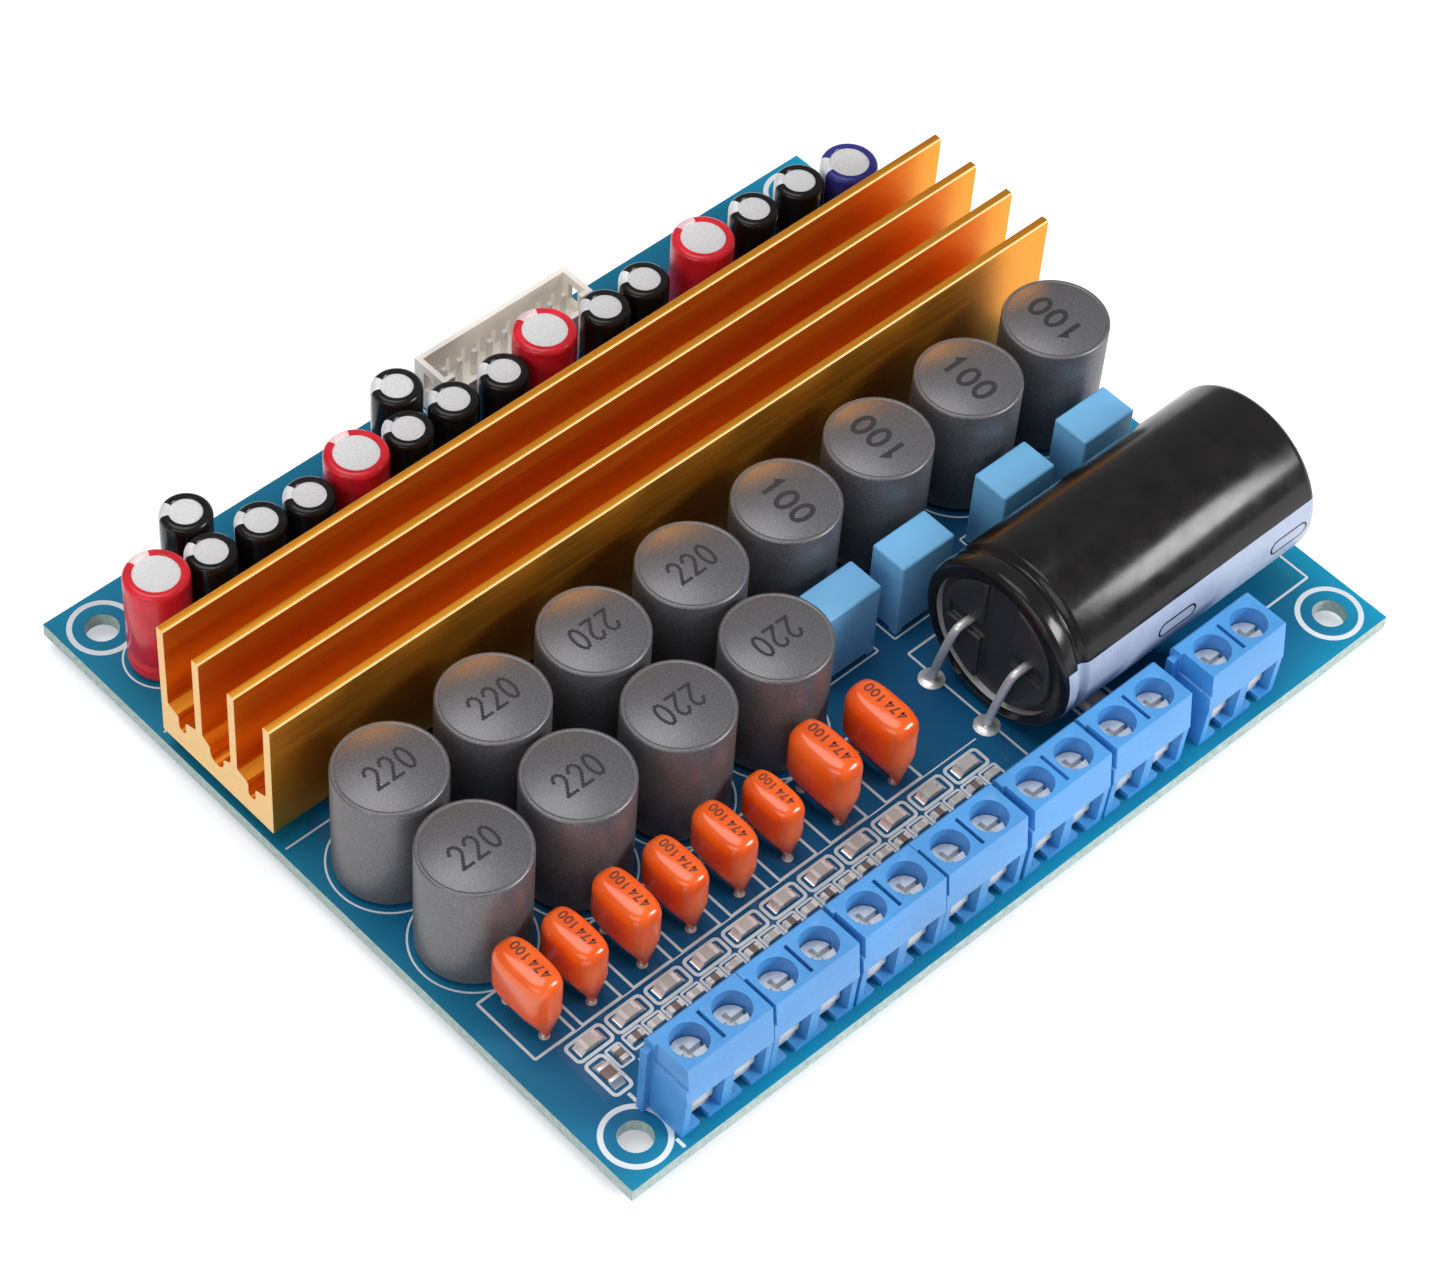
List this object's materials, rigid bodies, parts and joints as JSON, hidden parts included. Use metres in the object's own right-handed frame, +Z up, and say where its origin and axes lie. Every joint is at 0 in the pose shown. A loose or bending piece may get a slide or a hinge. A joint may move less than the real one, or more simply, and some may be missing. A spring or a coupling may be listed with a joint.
{
  "type": "audio amplifier board",
  "caption": "Multichannel audio amplifier board: gold finned heatsink over the chips, shielded inductors, film and electrolytic capacitors, signal header and working screw terminals.",
  "frame": {"origin": "centre of the rectangle of mounting holes, on the underside of the board", "axes": "+X along the terminal edge to the right, +Y from the terminals to the header, +Z up out of the component side"},
  "size_m": [0.1, 0.084, 0.0218],
  "materials": {
    "board": "blue solder mask on glass-fibre laminate",
    "gold_anodised": "gold anodised extrusion",
    "chip_black": "moulded epoxy",
    "thermal_pad": "filled silicone",
    "screw_steel": "zinc plated steel",
    "ferrite": "speckled dark grey ferrite shield",
    "orange_dip": "glossy dipped coating",
    "blue_case": "moulded blue case",
    "red_sleeve": "shrink sleeve",
    "black_sleeve": "shrink sleeve",
    "blue_sleeve": "shrink sleeve",
    "can_aluminium": "plain drawn aluminium",
    "bung_rubber": "black rubber",
    "tinned_lead": "tinned wire with solder",
    "header_nylon": "cream nylon",
    "chip_ceramic": "beige ceramic",
    "solder": "bright solder",
    "terminal_blue": "moulded blue polyamide",
    "clamp_nickel": "nickel plated"
  },
  "bodies": {
    "board": {"circuit_board": "board", "heatsink": "gold_anodised", "amplifier_chips": "chip_black", "thermal_pads": "thermal_pad", "heatsink_screws": "screw_steel", "inductors_220": "ferrite", "inductors_100": "ferrite", "dipped_capacitors": "orange_dip", "box_capacitors": "blue_case", "red_sleeves": "red_sleeve", "black_sleeves": "black_sleeve", "blue_sleeve": "blue_sleeve", "capacitor_cans": "can_aluminium", "capacitor_bungs": "bung_rubber", "main_sleeve": "black_sleeve", "main_plug": "bung_rubber", "main_leads": "tinned_lead", "component_leads": "tinned_lead", "header_housing": "header_nylon", "header_pins": "tinned_lead", "terminal_contacts": "tinned_lead", "chip_capacitors": "chip_ceramic", "chip_resistors": "chip_black", "chip_ends": "solder", "power_terminal": "terminal_blue", "speaker_terminal_1": "terminal_blue", "speaker_terminal_2": "terminal_blue", "speaker_terminal_3": "terminal_blue", "speaker_terminal_4": "terminal_blue", "speaker_terminal_5": "terminal_blue", "speaker_terminal_6": "terminal_blue"},
    "clamp_1": {"wire_clamp_1": "clamp_nickel"},
    "screw_1": {"terminal_screw_1": "screw_steel"},
    "clamp_2": {"wire_clamp_2": "clamp_nickel"},
    "screw_2": {"terminal_screw_2": "screw_steel"},
    "clamp_3": {"wire_clamp_3": "clamp_nickel"},
    "screw_3": {"terminal_screw_3": "screw_steel"},
    "clamp_4": {"wire_clamp_4": "clamp_nickel"},
    "screw_4": {"terminal_screw_4": "screw_steel"},
    "clamp_5": {"wire_clamp_5": "clamp_nickel"},
    "screw_5": {"terminal_screw_5": "screw_steel"},
    "clamp_6": {"wire_clamp_6": "clamp_nickel"},
    "screw_6": {"terminal_screw_6": "screw_steel"},
    "clamp_7": {"wire_clamp_7": "clamp_nickel"},
    "screw_7": {"terminal_screw_7": "screw_steel"},
    "clamp_8": {"wire_clamp_8": "clamp_nickel"},
    "screw_8": {"terminal_screw_8": "screw_steel"},
    "clamp_9": {"wire_clamp_9": "clamp_nickel"},
    "screw_9": {"terminal_screw_9": "screw_steel"},
    "clamp_10": {"wire_clamp_10": "clamp_nickel"},
    "screw_10": {"terminal_screw_10": "screw_steel"},
    "clamp_11": {"wire_clamp_11": "clamp_nickel"},
    "screw_11": {"terminal_screw_11": "screw_steel"},
    "clamp_12": {"wire_clamp_12": "clamp_nickel"},
    "screw_12": {"terminal_screw_12": "screw_steel"},
    "clamp_13": {"wire_clamp_13": "clamp_nickel"},
    "screw_13": {"terminal_screw_13": "screw_steel"},
    "clamp_14": {"wire_clamp_14": "clamp_nickel"},
    "screw_14": {"terminal_screw_14": "screw_steel"}
  },
  "joints": [
    {"name": "clamp_1_rise", "type": "slide", "parent": "board", "child": "clamp_1", "axis": [0, 0, 1], "range_m": [0, 0.0018]},
    {"name": "screw_1_turn", "type": "hinge", "parent": "clamp_1", "child": "screw_1", "pos_m": [-0.0404, -0.0382, 0.0083], "axis": [0, 0, 1], "range_deg": [0, 1440]},
    {"name": "clamp_2_rise", "type": "slide", "parent": "board", "child": "clamp_2", "axis": [0, 0, 1], "range_m": [0, 0.0018]},
    {"name": "screw_2_turn", "type": "hinge", "parent": "clamp_2", "child": "screw_2", "pos_m": [-0.03532, -0.0382, 0.0083], "axis": [0, 0, 1], "range_deg": [0, 1440]},
    {"name": "clamp_3_rise", "type": "slide", "parent": "board", "child": "clamp_3", "axis": [0, 0, 1], "range_m": [0, 0.0018]},
    {"name": "screw_3_turn", "type": "hinge", "parent": "clamp_3", "child": "screw_3", "pos_m": [-0.02985, -0.0382, 0.0083], "axis": [0, 0, 1], "range_deg": [0, 1440]},
    {"name": "clamp_4_rise", "type": "slide", "parent": "board", "child": "clamp_4", "axis": [0, 0, 1], "range_m": [0, 0.0018]},
    {"name": "screw_4_turn", "type": "hinge", "parent": "clamp_4", "child": "screw_4", "pos_m": [-0.02477, -0.0382, 0.0083], "axis": [0, 0, 1], "range_deg": [0, 1440]},
    {"name": "clamp_5_rise", "type": "slide", "parent": "board", "child": "clamp_5", "axis": [0, 0, 1], "range_m": [0, 0.0018]},
    {"name": "screw_5_turn", "type": "hinge", "parent": "clamp_5", "child": "screw_5", "pos_m": [-0.01892, -0.0382, 0.0083], "axis": [0, 0, 1], "range_deg": [0, 1440]},
    {"name": "clamp_6_rise", "type": "slide", "parent": "board", "child": "clamp_6", "axis": [0, 0, 1], "range_m": [0, 0.0018]},
    {"name": "screw_6_turn", "type": "hinge", "parent": "clamp_6", "child": "screw_6", "pos_m": [-0.01384, -0.0382, 0.0083], "axis": [0, 0, 1], "range_deg": [0, 1440]},
    {"name": "clamp_7_rise", "type": "slide", "parent": "board", "child": "clamp_7", "axis": [0, 0, 1], "range_m": [0, 0.0018]},
    {"name": "screw_7_turn", "type": "hinge", "parent": "clamp_7", "child": "screw_7", "pos_m": [-0.00839, -0.0382, 0.0083], "axis": [0, 0, 1], "range_deg": [0, 1440]},
    {"name": "clamp_8_rise", "type": "slide", "parent": "board", "child": "clamp_8", "axis": [0, 0, 1], "range_m": [0, 0.0018]},
    {"name": "screw_8_turn", "type": "hinge", "parent": "clamp_8", "child": "screw_8", "pos_m": [-0.00331, -0.0382, 0.0083], "axis": [0, 0, 1], "range_deg": [0, 1440]},
    {"name": "clamp_9_rise", "type": "slide", "parent": "board", "child": "clamp_9", "axis": [0, 0, 1], "range_m": [0, 0.0018]},
    {"name": "screw_9_turn", "type": "hinge", "parent": "clamp_9", "child": "screw_9", "pos_m": [0.00269, -0.0382, 0.0083], "axis": [0, 0, 1], "range_deg": [0, 1440]},
    {"name": "clamp_10_rise", "type": "slide", "parent": "board", "child": "clamp_10", "axis": [0, 0, 1], "range_m": [0, 0.0018]},
    {"name": "screw_10_turn", "type": "hinge", "parent": "clamp_10", "child": "screw_10", "pos_m": [0.00777, -0.0382, 0.0083], "axis": [0, 0, 1], "range_deg": [0, 1440]},
    {"name": "clamp_11_rise", "type": "slide", "parent": "board", "child": "clamp_11", "axis": [0, 0, 1], "range_m": [0, 0.0018]},
    {"name": "screw_11_turn", "type": "hinge", "parent": "clamp_11", "child": "screw_11", "pos_m": [0.01358, -0.0382, 0.0083], "axis": [0, 0, 1], "range_deg": [0, 1440]},
    {"name": "clamp_12_rise", "type": "slide", "parent": "board", "child": "clamp_12", "axis": [0, 0, 1], "range_m": [0, 0.0018]},
    {"name": "screw_12_turn", "type": "hinge", "parent": "clamp_12", "child": "screw_12", "pos_m": [0.01866, -0.0382, 0.0083], "axis": [0, 0, 1], "range_deg": [0, 1440]},
    {"name": "clamp_13_rise", "type": "slide", "parent": "board", "child": "clamp_13", "axis": [0, 0, 1], "range_m": [0, 0.0018]},
    {"name": "screw_13_turn", "type": "hinge", "parent": "clamp_13", "child": "screw_13", "pos_m": [0.02669, -0.0382, 0.0083], "axis": [0, 0, 1], "range_deg": [0, 1440]},
    {"name": "clamp_14_rise", "type": "slide", "parent": "board", "child": "clamp_14", "axis": [0, 0, 1], "range_m": [0, 0.0018]},
    {"name": "screw_14_turn", "type": "hinge", "parent": "clamp_14", "child": "screw_14", "pos_m": [0.03177, -0.0382, 0.0083], "axis": [0, 0, 1], "range_deg": [0, 1440]}
  ],
  "couplings": [
    {"joint": "screw_1_turn", "follows": "clamp_1_rise", "rad_per_m": 13963},
    {"joint": "screw_2_turn", "follows": "clamp_2_rise", "rad_per_m": 13963},
    {"joint": "screw_3_turn", "follows": "clamp_3_rise", "rad_per_m": 13963},
    {"joint": "screw_4_turn", "follows": "clamp_4_rise", "rad_per_m": 13963},
    {"joint": "screw_5_turn", "follows": "clamp_5_rise", "rad_per_m": 13963},
    {"joint": "screw_6_turn", "follows": "clamp_6_rise", "rad_per_m": 13963},
    {"joint": "screw_7_turn", "follows": "clamp_7_rise", "rad_per_m": 13963},
    {"joint": "screw_8_turn", "follows": "clamp_8_rise", "rad_per_m": 13963},
    {"joint": "screw_9_turn", "follows": "clamp_9_rise", "rad_per_m": 13963},
    {"joint": "screw_10_turn", "follows": "clamp_10_rise", "rad_per_m": 13963},
    {"joint": "screw_11_turn", "follows": "clamp_11_rise", "rad_per_m": 13963},
    {"joint": "screw_12_turn", "follows": "clamp_12_rise", "rad_per_m": 13963},
    {"joint": "screw_13_turn", "follows": "clamp_13_rise", "rad_per_m": 13963},
    {"joint": "screw_14_turn", "follows": "clamp_14_rise", "rad_per_m": 13963}
  ]
}
